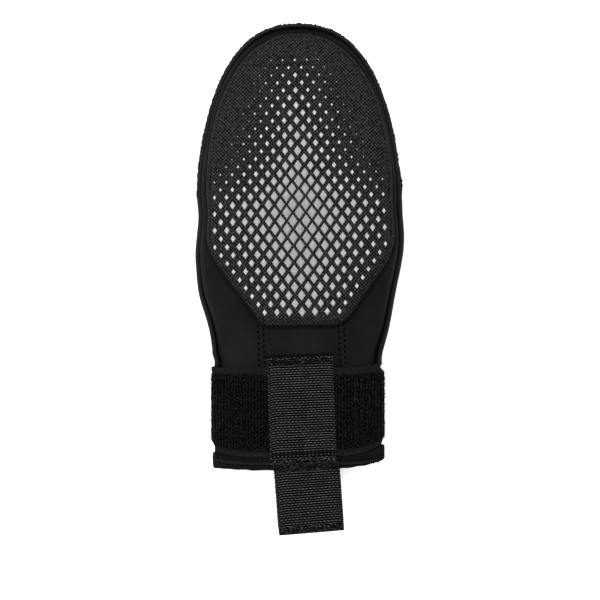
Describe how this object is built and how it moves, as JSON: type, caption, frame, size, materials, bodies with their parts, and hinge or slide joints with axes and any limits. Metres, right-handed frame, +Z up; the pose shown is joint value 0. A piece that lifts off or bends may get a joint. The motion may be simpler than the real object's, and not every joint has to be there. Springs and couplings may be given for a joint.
{
  "type": "baseball sliding mitt",
  "caption": "Padded neoprene mitten for sliding into a base: woven pad on the back, elastic wrist strap held by webbing with a free pull tail.",
  "frame": {"origin": "on the surface that the mitt lies on, under the middle of its bounding box", "axes": "+X to the right with the back of the hand seen upright, +Y from the cuff to the fingertips, +Z up through the back of the hand"},
  "size_m": [0.122, 0.2974, 0.0422],
  "materials": {
    "neoprene": "matte knit-faced neoprene",
    "thread": "matte overlock thread",
    "woven_nylon": "ballistic weave with a light grey print",
    "loop_pile": "brushed loop pile",
    "hook_tape": "matte",
    "nylon_webbing": "ribbed nylon webbing"
  },
  "bodies": {
    "root": {"back_panel": "neoprene", "palm_panel": "neoprene", "seam_binding": "thread", "back_pad": "woven_nylon", "cuff_hem": "neoprene", "wrist_strap": "loop_pile", "hook_patch": "hook_tape", "pull_web": "nylon_webbing"}
  },
  "joints": []
}
